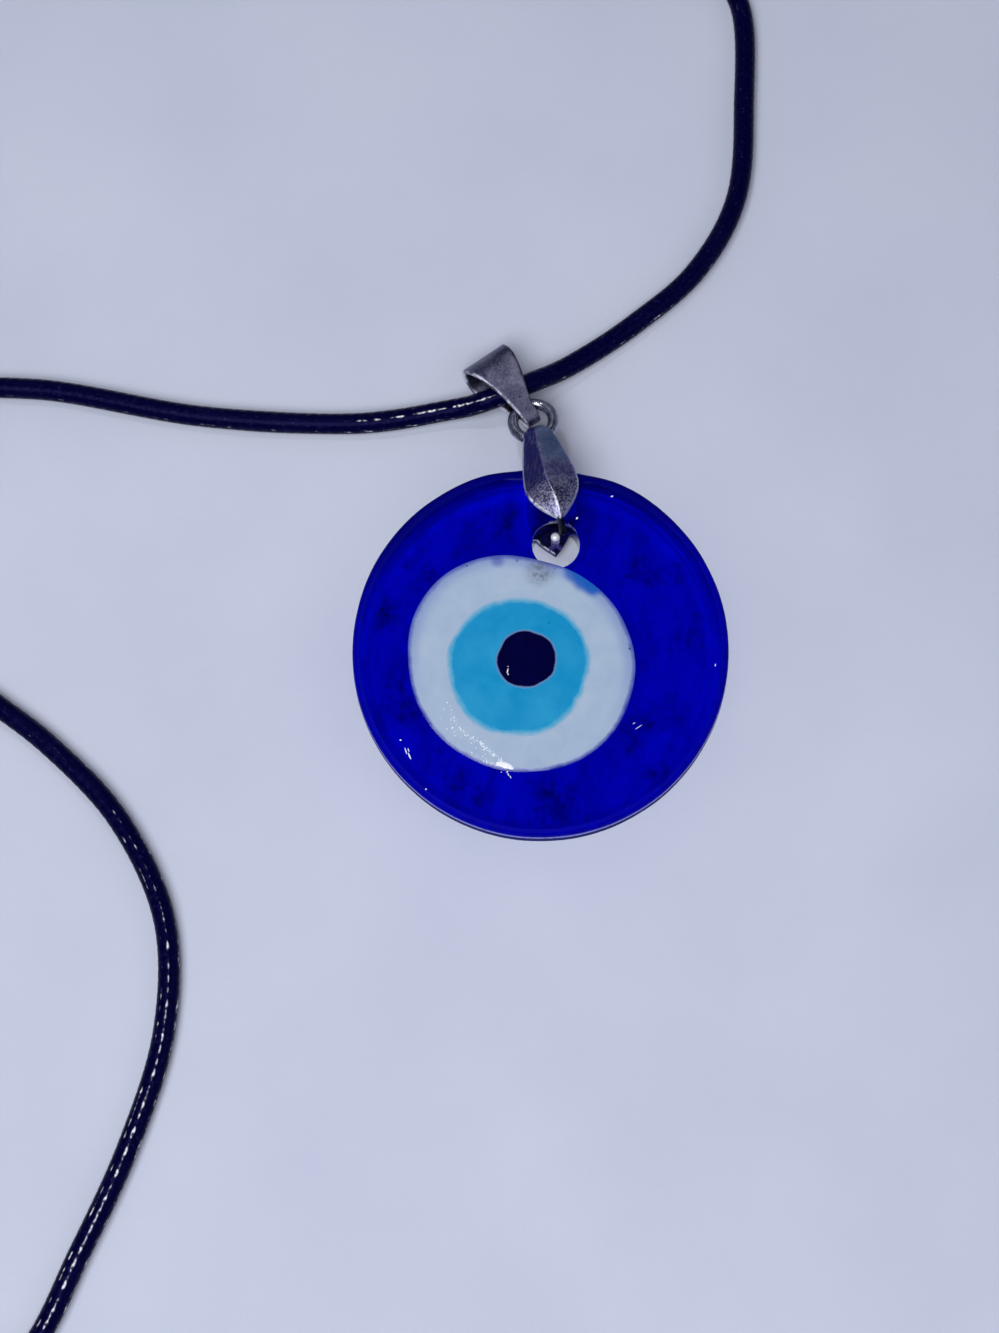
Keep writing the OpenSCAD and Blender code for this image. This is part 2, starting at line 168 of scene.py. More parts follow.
class Nodes:
    """Short names for building a material's nodes."""

    def __init__(self, name):
        self.mat = bpy.data.materials.new(name)
        self.mat.use_nodes = True
        self.tree = self.mat.node_tree
        self.tree.nodes.clear()
        self.out = self.tree.nodes.new("ShaderNodeOutputMaterial")

    def add(self, kind, inputs=None, **props):
        """A node with some properties set, and with inputs that are numbers, tuples or links."""
        node = self.tree.nodes.new("ShaderNode" + kind)
        for k, v in props.items():
            setattr(node, k, v)
        for k, v in (inputs or {}).items():
            if isinstance(v, bpy.types.NodeSocket):
                self.tree.links.new(v, node.inputs[k])
            else:
                node.inputs[k].default_value = (*v, 1) if node.inputs[k].type == "RGBA" else v
        return node

    def coords(self, stretch=(1, 1, 1), turn=(0, 0, 0)):
        """Places in millimetres, turned and stretched."""
        places = self.add("TexCoord").outputs["Object"]
        scale = tuple(1000 * q for q in stretch)
        return self.add("Mapping", {"Vector": places, "Scale": scale, "Rotation": turn}).outputs["Vector"]

    def value(self, name):
        """A value that the mesh carries at each point."""
        return self.add("Attribute", attribute_name=name).outputs["Fac"]

    def on_disc(self):
        """The place on the disc, from the mesh's values."""
        return self.add("CombineXYZ", {0: self.value("px"), 1: self.value("py")}).outputs[0]

    def noise(self, vec, scale, detail, rough, distortion=0.0):
        return self.add("TexNoise", {"Vector": vec, "Scale": scale, "Detail": detail, "Roughness": rough,
                                     "Distortion": distortion}).outputs["Fac"]

    def ramp(self, fac, stops):
        node = self.add("ValToRGB", {"Fac": fac})
        elements = node.color_ramp.elements
        while len(elements) < len(stops):
            elements.new(0.5)
        for element, (place, colour) in zip(elements, stops):
            element.position = place
            element.color = (*colour, 1)
        return node.outputs["Color"]

    def rng(self, fac, a, b, c, d, smooth=False):
        """Runs from c to d while fac runs from a to b."""
        return self.add("MapRange", {"Value": fac, "From Min": a, "From Max": b, "To Min": c, "To Max": d},
                        interpolation_type="SMOOTHSTEP" if smooth else "LINEAR").outputs["Result"]

    def math(self, op, a, b, clamp=False):
        return self.add("Math", {0: a, 1: b}, operation=op, use_clamp=clamp).outputs[0]

    def times(self, first, *rest):
        return self.math("MULTIPLY", first, self.times(*rest)) if rest else first

    def plus(self, a, b):
        return self.math("ADD", a, b)

    def top_of(self, a, b, clamp=False):
        return self.math("MAXIMUM", a, b, clamp=clamp)

    def rest_of(self, a):
        """What is left of 1."""
        return self.math("SUBTRACT", 1.0, a)

    def mix(self, fac, a, b):
        """Colour a, or b where fac is 1."""
        return self.add("Mix", {0: fac, 6: a, 7: b}, data_type="RGBA").outputs[2]

    def bump(self, height, strength, distance, normal=None):
        inputs = {"Strength": strength, "Distance": distance, "Height": height}
        if normal is not None:
            inputs["Normal"] = normal
        return self.add("Bump", inputs).outputs["Normal"]

    def distance(self, vec, x, y):
        return self.add("VectorMath", {0: vec, 1: (x, y, 0)}, operation="DISTANCE").outputs["Value"]

    def spot(self, vec, x, y, size, inner=0.25):
        """1 at a place of the disc, falling to 0 at a distance."""
        return self.rng(self.distance(vec, x, y), size * inner, size, 1, 0, smooth=True)

    def shader(self, **inputs):
        named = {k.replace("_", " "): v for k, v in inputs.items()}
        return self.add("BsdfPrincipled", named).outputs["BSDF"]

    def blend(self, fac, a, b):
        """Surface a, or b where fac is 1."""
        return self.add("MixShader", {0: fac, 1: a, 2: b}).outputs[0]

    def clear_to_lamps(self, surface, colour):
        """The surface, which lets a lamp's light through to what lies under it."""
        clear = self.add("BsdfTransparent", {"Color": colour}).outputs[0]
        return self.blend(self.add("LightPath").outputs["Is Shadow Ray"], surface, clear)

    def finished(self, surface):
        self.tree.links.new(surface, self.out.inputs["Surface"])
        return self.mat


# camera, fitted to the photograph: its place in millimetres and the directions of its right, up and back
FOCAL_PX, FRAME_PX, SENSOR = 2250, 1333, 36
CAM_AT = (5.197, -41.256, 178.165)
CAM_AXES = ((0.98829, 0.15211, -0.01208), (-0.14555, 0.96351, 0.22463), (0.04581, -0.22024, 0.97437))

cam_data = bpy.data.cameras.new("camera")
cam_data.lens = SENSOR * FOCAL_PX / FRAME_PX
cam_data.sensor_width = SENSOR
cam_data.clip_start, cam_data.clip_end = 0.01, 10
cam = bpy.data.objects.new("camera", cam_data)
bpy.context.collection.objects.link(cam)
cam.matrix_world = Matrix.Translation(Vector(CAM_AT) * MM) @ Matrix(CAM_AXES).transposed().to_4x4()
bpy.context.scene.camera = cam

# cord: points of its middle line
ROUTE = [
    (-63.6, -33, 2.0),
    (-63.7, -37, 1.9), (-63.8, -46, 0.9), (-62.6, -56, 0.9), (-56.5, -62.6, 0.9),
    (-46, -63.8, 0.9), (-36.5, -63.2, 0.9), (-30.6, -59.6, 0.9), (-27.8, -51.2, 0.9),
    (-25.6, -42.6, 0.9), (-24.6, -33.9, 0.9), (-26.2, -25.4, 0.9), (-31.2, -18.2, 0.9),
    (-38, -13, 0.9), (-46, -8.6, 0.9), (-54, -2.6, 0.9), (-57.4, 6.6, 0.9),
    (-53.6, 14.2, 0.9), (-45, 16.5, 0.9), (-31, 16.2, 0.9), (-18.5, 17.4, 0.9),
    (-10.4, 19.7, 1.3), (-7.4, 20.6, 2.4), (-4.4, 22.4, 2.6), (-1.2, 25, 1.3),
    (3.4, 29.4, 0.9), (8, 35, 0.9), (10.5, 42, 0.9), (10.1, 50.4, 0.9),
    (8.3, 60.4, 0.9), (2.7, 64.1, 0.9), (-10, 64.6, 0.9), (-44, 64.4, 0.9),
    (-57.4, 58.8, 0.9), (-63.4, 46, 0.9), (-64.7, 28, 0.9), (-64.4, 8, 0.9),
    (-63.9, -6, 0.9), (-63.6, -15.4, 1.9), (-63.6, -19, 2.0)]
STEP, SIDES = ((0.14, 30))
STRANDS, STRAND_PITCH = 5, 0.9


def route_line(step):
    """Points a step apart on a smooth curve through the route, and how far along each lies."""
    route = np.array(ROUTE, float)
    curve = []
    for i in range(len(route) - 1):
        a, b, c, d = route[max(i - 1, 0)], route[i], route[i + 1], route[min(i + 2, len(route) - 1)]
        for t in np.arange(0, 1, 1 / 24):
            curve.append((2 * b + (c - a) * t + (2 * a - 5 * b + 4 * c - d) * t * t
                          + (3 * b - a - 3 * c + d) * t ** 3) / 2)
    curve = np.array(curve + [route[-1]])
    curve[:, 2] = np.maximum(curve[:, 2], CORD_R)
    far = np.concatenate([[0], np.cumsum(np.linalg.norm(np.diff(curve, axis=0), axis=1))])
    at = np.linspace(0, far[-1], int(far[-1] / step) + 1)
    return np.stack([np.interp(at, far, curve[:, k]) for k in range(3)], 1), at


def unit(vectors):
    return vectors / np.linalg.norm(vectors, axis=1)[:, None]


def braid_relief(along, turn):
    """0 in the grooves to 1 on the crowns of a round braid, whose strands lean both ways and cross."""
    s, th = np.meshgrid(along, turn, indexing="ij")
    one = STRANDS * th / (2 * np.pi) + s / STRAND_PITCH
    other = STRANDS * th / (2 * np.pi) - s / STRAND_PITCH
    over = 0.5 + 0.5 * np.sin(np.pi * one) * np.sin(np.pi * other)
    one_high, other_high = np.abs(np.cos(np.pi * one)) ** 0.7, np.abs(np.cos(np.pi * other)) ** 0.7
    return np.maximum(one_high * (0.55 + 0.45 * over), other_high * (1.0 - 0.45 * over))


def cord_points(line, along, turn, relief):
    """The cord's surface, a little thinner than the solid and uneven, and resting on the floor."""
    ahead = unit(np.gradient(line, axis=0))
    aside = unit(np.cross(ahead, (0, 0, 1)))
    above = np.cross(aside, ahead)
    uneven = np.array([noise.noise(Vector((x * 0.21, 3.1, 0))) for x in along])
    rad = CORD_R * (0.905 + 0.08 * relief + 0.02 * uneven[:, None])
    rad[0] = rad[-1] = CORD_R * 0.95
    points = (line[:, None, :] + rad[..., None] * (np.cos(turn)[None, :, None] * aside[:, None, :]
                                                  + np.sin(turn)[None, :, None] * above[:, None, :]))
    points[..., 2] = np.maximum(points[..., 2], 0.004)
    return points.reshape(-1, 3)


def painted_glint_line(along, angle, places, strengths, seed):
    """How strong the painted glint is on one line along the cord, broken at random."""
    broken = np.array([noise.noise(Vector((q * 1.3, seed, 0))) for q in along])
    out = np.zeros((len(along), SIDES))
    column = int(round(angle / (2 * math.pi) * SIDES))
    out[:, column] = np.interp(along, places, strengths) * (1 + 1.8 * broken)
    return out


def painted_glint_places(line, along):
    """How strong the painted glints are, on six lines of the cord's stretches in view."""
    def far_along(places):
        return [float(along[np.argmin((line[:, 0] - x) ** 2 + (line[:, 1] - y) ** 2)]) for x, y in places]

    lower = far_along(((-36, -63), (-31, -60), (-27.8, -51.2), (-24.6, -34), (-31, -18.2), (-46, -8.6)))
    middle = far_along(((-21, 17), (-18, 17.4), (-14, 18.6), (-11, 19.5), (-7, 20.8), (-5.5, 21.6)))
    upper = far_along(((-1.2, 25), (3.4, 29.4), (8, 35), (10.2, 41)))
    painted_glint = np.zeros((len(along), SIDES))
    for line_of_glint in ((1.45, lower, (0, 0.95, 0.9, 0.65, 0.35, 0), 2.1),
                        (2.1, lower, (0, 0.4, 0.5, 0.42, 0.3, 0.2), 5.7),
                        (0.2, lower, (0, 0.45, 0.5, 0.45, 0.35, 0.2), 8.2),
                        (1.45, middle, (0, 0.5, 0.65, 0.9, 0.6, 0), 11.4),
                        (0.2, middle, (0.2, 0.4, 0.4, 0.4, 0.3, 0), 14.9),
                        (0.4, upper, (0.3, 0.38, 0.38, 0), 17.3)):
        painted_glint = np.maximum(painted_glint, painted_glint_line(along, *line_of_glint))
    return painted_glint.reshape(-1)


def cord_material():
    """Dark blue wax with fuzz on the crowns, painted darker in the grooves as shade, and with painted glints
    along lines of the crowns.
    """
    n = Nodes("waxed_cord")
    v = n.coords()
    groove, painted_glint = n.value("groove"), n.value("painted_glint")
    fine = n.noise(v, 7.0, 5, 0.65)
    base = n.ramp(fine, [(0.3, (0.0004, 0.0004, 0.014)), (0.7, (0.001, 0.001, 0.036))])
    # painted shade: the braid's grooves darker
    base = n.mix(n.rng(groove, 0, 0.5, 0.8, 0), base, (0.0008, 0.0008, 0.006))
    base = n.mix(n.rng(n.noise(v, 0.35, 3, 0.5), 0.5, 0.75, 0, 0.4), base, (0.003, 0.003, 0.035))
    fuzz = n.times(n.rng(n.noise(v, 3.6, 3, 0.6), 0.59, 0.68, 0, 0.3), n.rng(groove, 0.5, 0.7, 0, 1))
    base = n.mix(fuzz, base, (0.03, 0.03, 0.14))
    # painted glints on the crowns, along the glint lines, broken by noise
    patch = n.rng(n.noise(v, 1.6, 3, 0.6), 0.35, 0.65, -0.3, 0.15)
    painted_highlight = n.times(n.rng(n.plus(painted_glint, patch), 0.3, 0.46, 0, 1), n.rng(painted_glint, 0.3, 1.0, 0.05, 1, smooth=True))
    base = n.mix(n.times(painted_highlight, n.rng(groove, 0.6, 0.8, 0.05, 1)), base, (0.95, 0.95, 1.0))
    return n.finished(n.shader(
        Base_Color=base, Roughness=n.rng(fine, 0.3, 0.7, 0.08, 0.2), Specular_IOR_Level=0.06,
        Specular_Tint=(0.3, 0.3, 1.0), Normal=n.bump(fine, 0.3, 0.00007)))


cord_line, cord_along = route_line(STEP)
cord_turn = np.linspace(0, 2 * np.pi, SIDES, endpoint=False)
cord_relief = braid_relief(cord_along, cord_turn)
cord = build("cord_look", cord_points(cord_line, cord_along, cord_turn, cord_relief),
             turned_over(tube_faces(len(cord_line), SIDES)) + caps(len(cord_line), SIDES),
             None, cord_material(), "waxed_cord", "cord",
             values={"groove": cord_relief.reshape(-1), "painted_glint": painted_glint_places(cord_line, cord_along)})

# glass disc
EYE_X, EYE_Y, EYE_R = -1.4, -1.3, 8.9
SPOKES, AIM_R, LIP = 288, 14, 0.08
UNDER_X, UNDER_HALF = -1.4, 2.5
SPECK_FIELDS = (
    (6.9, 7.4, 2.6), (9.5, 7.2, 2.4), (9.3, -5.2, 3.2), (-12.4, 1.2, 1.6), (-10.6, 4.8, 2.4),
    (2.6, -12.0, 2.8), (11.3, 3.2, 2.2), (-4.0, -12.2, 2.4), (10.4, -8.6, 2.4), (-4.8, 10.2, 2.6),
    (-10.4, -5.8, 2.6))
# pale flecks on the glass, painted glints: (x, y, z, half length, half width, half height, turn in degrees)
GLINT_FLECKS = [
    (3.86, 13.2, 3.8, 0.1, 0.07, 0.03, 20), (1.34, 11.0, 3.82, 0.11, 0.08, 0.03, 60),
    (-9.8, -8.8, 3.8, 0.09, 0.06, 0.03, 0), (-7.2, -12.35, 3.8, 0.08, 0.05, 0.03, 30),
    (-9.25, -9.6, 3.82, 0.3, 0.05, 0.03, -62), (-8.9, -9.95, 3.82, 0.32, 0.06, 0.03, -58),
    (-9.05, -9.5, 3.82, 0.16, 0.04, 0.03, -60), (-12.5, 7.6, 3.62, 0.42, 0.045, 0.04, 52),
    (-12.3, 7.9, 3.66, 0.2, 0.03, 0.04, 48), (-13.45, 5.9, 3.6, 0.34, 0.04, 0.04, 60),
    (-13.3, 5.6, 3.7, 0.18, 0.03, 0.03, 70), (-14.3, 2.4, 3.55, 0.12, 0.04, 0.03, 80),
    (8.6, -5.0, 3.82, 0.34, 0.03, 0.02, 42), (8.2, -4.75, 3.82, 0.12, 0.03, 0.02, 40),
    (13.9, 0.8, 3.82, 0.04, 0.12, 0.02, 0)]


def specks_inside(n, v, at):
    """How dark the glass is from clouds and clots of specks, and from drawn streaks."""
    clouds = n.rng(n.noise(v, 0.42, 3, 0.5), 0.4, 0.6, 0, 1, smooth=True)
    specks = n.rng(n.noise(v, 1.7, 5, 0.7), 0.42, 0.66, 0, 1, smooth=True)
    fields = n.spot(at, *SPECK_FIELDS[0])
    for field in SPECK_FIELDS[1:]:
        fields = n.top_of(fields, n.spot(at, *field))
    drawn = n.rng(n.noise(n.coords((1, 0.42, 1)), 0.55, 5, 0.62), 0.42, 0.68, 0, 0.42, smooth=True)
    clots = n.times(clouds, n.plus(n.times(specks, 0.45), 0.3))
    shade = n.times(clots, n.plus(n.times(fields, 0.9), 0.35))
    return n.plus(n.times(shade, 0.8), drawn)


def glass_tint(n, v, at, far, y, top):
    """Clear blue, darker by its specks, with painted shade towards the upper rim and a paler arc of painted
    light inside that rim.
    """
    # painted shade: a darker band towards the upper rim
    radius = n.plus(far, n.rng(n.noise(v, 0.8, 4, 0.6), 0.3, 0.7, -0.22, 0.22))
    band = n.times(n.rng(radius, 12.9, 14.2, 0, 0.6, smooth=True), top)
    shade = n.top_of(specks_inside(n, v, at), band, clamp=True)
    # painted light: a paler arc inside the upper rim
    near = n.plus(n.distance(at, 0, -0.9), n.rng(n.noise(v, 0.5, 3, 0.5), 0.3, 0.7, -0.15, 0.15))
    arc = n.times(n.rng(near, 13.4, 14.1, 0, 1, smooth=True), n.rng(near, 14.15, 14.6, 1, 0, smooth=True))
    arc = n.times(arc, n.rng(y, -6, 0, 0, 1, smooth=True))
    shade = n.times(shade, n.rest_of(n.times(arc, 0.6)))
    return n.mix(shade, n.mix(arc, (0.0, 0.001, 0.76), (0.0, 0.002, 0.92)), (0.0, 0.0, 0.06))


def glass_material():
    """Clear blue glass with its side painted deep blue as shade, a pale seam round it that is a painted
    reflection, and pale nicks that are painted glints.
    """
    n = Nodes("blue_glass")
    v = n.coords()
    normal = n.bump(n.noise(v, 0.22, 3, 0.5), 0.2, 0.0002)
    normal = n.bump(n.noise(v, 3.0, 3, 0.5), 0.05, 0.00002, normal)
    x, y, z, painted_glint_fleck = n.value("px"), n.value("py"), n.value("pz"), n.value("painted_glint_fleck")
    at = n.on_disc()
    far = n.distance(at, 0, 0.1)
    top = n.rng(n.plus(n.times(x, -0.02), n.times(y, 0.06)), 0.22, 0.75, 0, 1, smooth=True)
    clear = n.shader(Base_Color=glass_tint(n, v, at, far, y, top), Roughness=0.03, IOR=1.5,
                     Transmission_Weight=1.0, Specular_IOR_Level=0.15, Normal=normal)
    # the side, painted opaque deep blue as shade, darker at the upper rim and towards the foot: from the
    # corner down, and from further in at the upper rim, where it shows through the face
    curved = n.times(n.rng(z, T - 0.035, T - 0.06, 0, 1), n.rng(far, 13.6, 13.8, 0, 1))
    reach = n.plus(far, n.times(top, 0.28))
    outer = n.top_of(n.rng(reach, 14.34, 14.42, 0, 1), curved)
    foot = n.times(n.rng(z, 1.6, 2.3, 0.5, 0.8), n.rng(z, 2.66, 2.72, 1, 0))
    side = n.ramp(n.noise(v, 0.9, 4, 0.6), [(0.35, (0.0, 0.0, 0.27)), (0.6, (0.0, 0.0, 0.36))])
    side = n.mix(foot, n.mix(top, side, (0.0, 0.0, 0.16)), (0.0, 0.0, 0.05))
    painted_shade_side = n.shader(Base_Color=side, Roughness=0.5, Specular_IOR_Level=0.02)
    surface = n.blend(n.times(outer, n.rng(z, 0.2, 0.5, 0.3, 1.0)), clear, painted_shade_side)
    # the pale seam, a painted reflection along a small bead of the side, and the nicks, painted glints
    painted_seam_reflection = n.times(n.times(n.rng(z, 2.66, 2.74, 0, 1), n.rng(z, 3.1, 3.18, 1, 0)), outer)
    rough = n.rng(n.noise(v, 2.5, 4, 0.6), 0.3, 0.5, 0.5, 1)
    painted_highlight = n.shader(Base_Color=n.mix(painted_glint_fleck, (0.3, 0.32, 1.0), (0.85, 0.88, 1.0)), Roughness=0.4,
                    Specular_IOR_Level=0.08)
    surface = n.blend(n.top_of(n.times(painted_seam_reflection, rough), painted_glint_fleck, clamp=True), surface, painted_highlight)
    return n.finished(n.clear_to_lamps(surface, (0.975, 0.98, 1.0)))


def disc_rings():
    """The glass's outline from the hole's foot over the face and the side to the back: (kind, share)."""
    def quarter(count):
        return [math.radians(90 * k / count) for k in range(count + 1)]

    stretches = (("foot", quarter(3)), ("hole", np.linspace(0, 1, 7)[1:-1]), ("lip", quarter(4)),
                 ("face", [*np.linspace(0, 1, 43)[1:-1], 0.997, 1]), ("corner", quarter(9)[1:]),
                 ("side", np.linspace(0, 1, 13)[1:]), ("low", quarter(13)),
                 ("back", np.linspace(1, 0, 20)[1:-1]))
    return [(kind, share) for kind, shares in stretches for share in shares]


def off_clasp(dx, dy, width):
    """0 in the directions under the clasp, rising smoothly to 1 over a width at each side of it."""
    w = 1.0 if dy < 0 else limited((abs(dx * R - UNDER_X) - UNDER_HALF) / width)
    return w * w * (3 - 2 * w)


def hole_ring(kind, q):
    """Radius and height of a ring of the hole."""
    if kind == "foot":
        return HOLE_R + LIP - LIP * math.sin(q), LIP - LIP * math.cos(q)
    if kind == "hole":
        return HOLE_R, LIP + (T - 2 * LIP) * q
    return HOLE_R + LIP - LIP * math.cos(q), T - LIP + LIP * math.sin(q)


def rim_ring(kind, q, crisp, wide):
    """Radius and height of a ring of the corner, the side or the low round edge."""
    corner_r, edge_r = RIM - 0.7 * crisp, R + 0.1 * wide
    face_r, top_r = R - RIM + 0.66 * crisp, R - 0.02 * crisp
    if kind == "corner":
        return face_r + (top_r - face_r) * math.sin(q), T - corner_r + corner_r * math.cos(q)
    if kind == "side":
        z = T - corner_r - (T - corner_r - RIM) * q
        bead = 0.02 * math.exp(-((z - 2.9) / 0.2) ** 2)
        return top_r + (edge_r - top_r) * math.sin(math.pi / 2 * q) + bead, z
    return edge_r - RIM + RIM * math.cos(q), RIM - RIM * math.sin(q)


def disc_point(kind, q, c, s):
    """A point of the glass outside its hole, in the direction c, s from the hole's centre."""
    far = math.sqrt((HOLE_Y * s) ** 2 - HOLE_Y ** 2 + AIM_R ** 2) - HOLE_Y * s
    dx, dy = far * c / AIM_R, (HOLE_Y + far * s) / AIM_R
    crisp, wide = off_clasp(dx, dy, 3.0), off_clasp(dx, dy, 4.5)
    if kind in ("face", "back"):
        r = R - RIM + 0.66 * crisp if kind == "face" else R - RIM
        outer_x, outer_y = dx * r, dy * r + 0.1 * wide
        inner_x, inner_y = (HOLE_R + LIP) * c, HOLE_Y + (HOLE_R + LIP) * s
        x, y = inner_x + (outer_x - inner_x) * q, inner_y + (outer_y - inner_y) * q
        z = T if kind == "face" else 0.0
    else:
        r, z = rim_ring(kind, q, crisp, wide)
        r *= 1 - 0.0012 + 0.0024 * min(0.5, max(-0.5, noise.noise(Vector((dx * 4.5, dy * 4.5, 7.7)))))
        x, y = dx * r, dy * r + 0.1 * wide
    if z > T - 0.3:
        off_eye = limited((math.hypot(x - EYE_X, y - EYE_Y) - 8.6) / 1.5)
        off = off_eye * limited((R - math.hypot(x, y)) / 1.5)
        z += 0.03 * off * (noise.noise(Vector((x * 0.16, y * 0.16, 4.2))) - 0.5)
    return x, y, z


def disc_mesh():
    """The glass: its upper corner is crisp, but rounder under the clasp."""
    verts, rings = [], disc_rings()
    for kind, q in rings:
        for k in range(SPOKES):
            c, s = math.cos(2 * math.pi * k / SPOKES), math.sin(2 * math.pi * k / SPOKES)
            if kind in ("foot", "hole", "lip"):
                r, z = hole_ring(kind, q)
                verts.append((r * c, HOLE_Y + r * s, z))
            else:
                verts.append(disc_point(kind, q, c, s))
    return verts, tube_faces(len(rings), SPOKES, closed=True)


FLAKE_HEIGHTS, FLAKE_SIDES = (-0.8, -0.3, 0.3, 0.8), 8
FLAKE_POINTS = len(FLAKE_HEIGHTS) * FLAKE_SIDES


def flakes(places):
    """Small flat bits: (x, y, z, half length, half width, half height, turn in degrees)."""
    verts, faces = [], []
    for x, y, z, a, b, h, turned in places:
        c, s = math.cos(math.radians(turned)), math.sin(math.radians(turned))
        start = len(verts)
        for up in FLAKE_HEIGHTS:
            w = math.sqrt(1 - up * up)
            for k in range(FLAKE_SIDES):
                p = a * w * math.cos(2 * math.pi * k / FLAKE_SIDES)
                q = b * w * math.sin(2 * math.pi * k / FLAKE_SIDES)
                verts.append((x + p * c - q * s, y + p * s + q * c, z + h * up))
        faces += turned_over(tube_faces(len(FLAKE_HEIGHTS), FLAKE_SIDES, start=start))
        faces += caps(len(FLAKE_HEIGHTS), FLAKE_SIDES, start)
    return verts, faces


disc_v, disc_f = disc_mesh()
glass_v, glass_f = joined((disc_v, disc_f), flakes(GLINT_FLECKS))
glass_values = dict(zip(("px", "py", "pz"), np.array(glass_v).T))
glass_values["painted_glint_fleck"] = [0] * len(disc_v) + [1] * (len(glass_v) - len(disc_v))
build("glass_disc_look", glass_v, glass_f, DISC, glass_material(), "blue_glass", "glass_disc",
      smooth=len(disc_f), values=glass_values)

# eye layers: their outlines are rounds with (waves, share of the radius, degrees) added
WHITE_WAVES = ((2, 0.04, -23), (3, 0.011, 18), (4, 0.0085, -42), (7, 0.003, 10), (11, 0.002, 40))
IRIS_WAVES = ((2, 0.012, 35), (3, 0.013, 37), (4, 0.006, -40), (5, 0.007, 27), (6, 0.005, 1), (9, 0.004, 15))
PUPIL_WAVES = ((2, 0.02, 22), (3, 0.011, -13), (4, 0.009, 33), (5, 0.011, -21), (7, 0.011, -16),
               (8, 0.007, 13))
LAYER_RINGS = 44
LAYER_BODY = [(0.99, 0.03), (0.93, 0.25), (0.88, 1.0), (0.5, 1.0), (0.02, 1.0)]
WHITE_SMEAR = ((1.7, 6.5, 1.0, 0.8), (2.6, 6.1, 1.25, 0.95), (3.4, 5.6, 1.0, 0.95))
WHITE_SPECKS = ((-6.77, 5.84, 0.13, 0.6), (-2.88, 6.83, 0.16, 0.5), (7.02, 1.1, 0.12, 0.9),
                (0.2, 6.6, 0.1, 0.5))


def wavy(r, a, waves):
    return r * (1 + sum(k * math.cos(n * (a - math.radians(p))) for n, k, p in waves))


def crown_z(x, y):
    """Height of the eye's face over the glass, a very flat dome."""
    q = min(1.0, math.hypot(x - EYE_X, y - EYE_Y) / EYE_R)
    return 0.03 + 0.07 * (1 - q ** 14)


def layer(node, slot, material, middle, r, waves, over, sunk, sides=160, bits=()):
    """A round inlay flush with the glass, narrower below its face; its bits are painted glints, fainter
    where they are thinner.
    """
    verts, edge = [], []
    face = [(f, 1) for f in [*np.linspace(0, 0.995, LAYER_RINGS - 2), 0.999, 1.0]]
    for i, (f, depth) in enumerate(face + LAYER_BODY):
        for k in range(sides):
            a = 2 * math.pi * k / sides
            far = wavy(r, a, waves)
            x, y = (m + max(f, 0.003) * far * q for m, q in zip(middle, (math.cos(a), math.sin(a))))
            verts.append((x, y, T + crown_z(x, y) + over if i < LAYER_RINGS else T - sunk * depth))
            edge.append(f)
    rings = len(face + LAYER_BODY)
    faces = turned_over(tube_faces(rings, sides)) + caps(rings, sides)
    painted_glint_fleck, whole = [0] * len(verts), len(faces)
    if bits:
        verts, faces = joined((verts, faces), flakes(bits))
        edge += [0] * (len(verts) - len(edge))
        painted_glint_fleck += [min(1.0, bit[5] / 0.02) for bit in bits for _ in range(FLAKE_POINTS)]
    at = np.array(verts)
    build(node + "_look", verts, faces, DISC, material, slot, node, smooth=whole,
          values={"edge": edge, "painted_glint_fleck": painted_glint_fleck, "px": at[:, 0], "py": at[:, 1]})


def opaque_glass(name, stops, fade, rim, beyond, marks=None, through=None):
    """Glossy opaque glass whose colour runs by way of its rim into what lies beyond it."""
    n = Nodes(name)
    v = n.coords()
    base = n.ramp(n.noise(v, 0.45, 5, 0.6, 0.4), stops)
    rag = n.rng(n.noise(v, 0.9, 5, 0.6), 0.3, 0.7, -1, 1)
    edge = n.plus(n.value("edge"), n.times(rag, fade * 0.2))
    base = n.mix(n.rng(edge, 1 - fade, 1 - fade * 0.5, 0, 1, smooth=True), base, rim)
    base = n.mix(n.rng(edge, 1 - fade * 0.5, 1 - fade * 0.08, 0, 1), base, beyond)
    if marks:
        base = marks(n, v, base, n.on_disc())
    # the flecks get painted glints
    glint = n.ramp(n.noise(v, 6.0, 2, 0.5), [(0.3, (0.75, 0.8, 0.95)), (0.6, (1.0, 1.0, 1.0))])
    base = n.mix(n.value("painted_glint_fleck"), base, glint)
    normal = n.bump(n.noise(v, 0.8, 3, 0.5), 0.1, 0.0001)
    normal = n.bump(n.noise(v, 7.0, 3, 0.6), 0.03, 0.00001, normal)
    surface = n.shader(Base_Color=base, Roughness=0.4, Specular_IOR_Level=0.01, Coat_Weight=0.4,
                       Coat_Roughness=0.04, Normal=normal, Coat_Normal=normal)
    return n.finished(n.clear_to_lamps(surface, through) if through else surface)


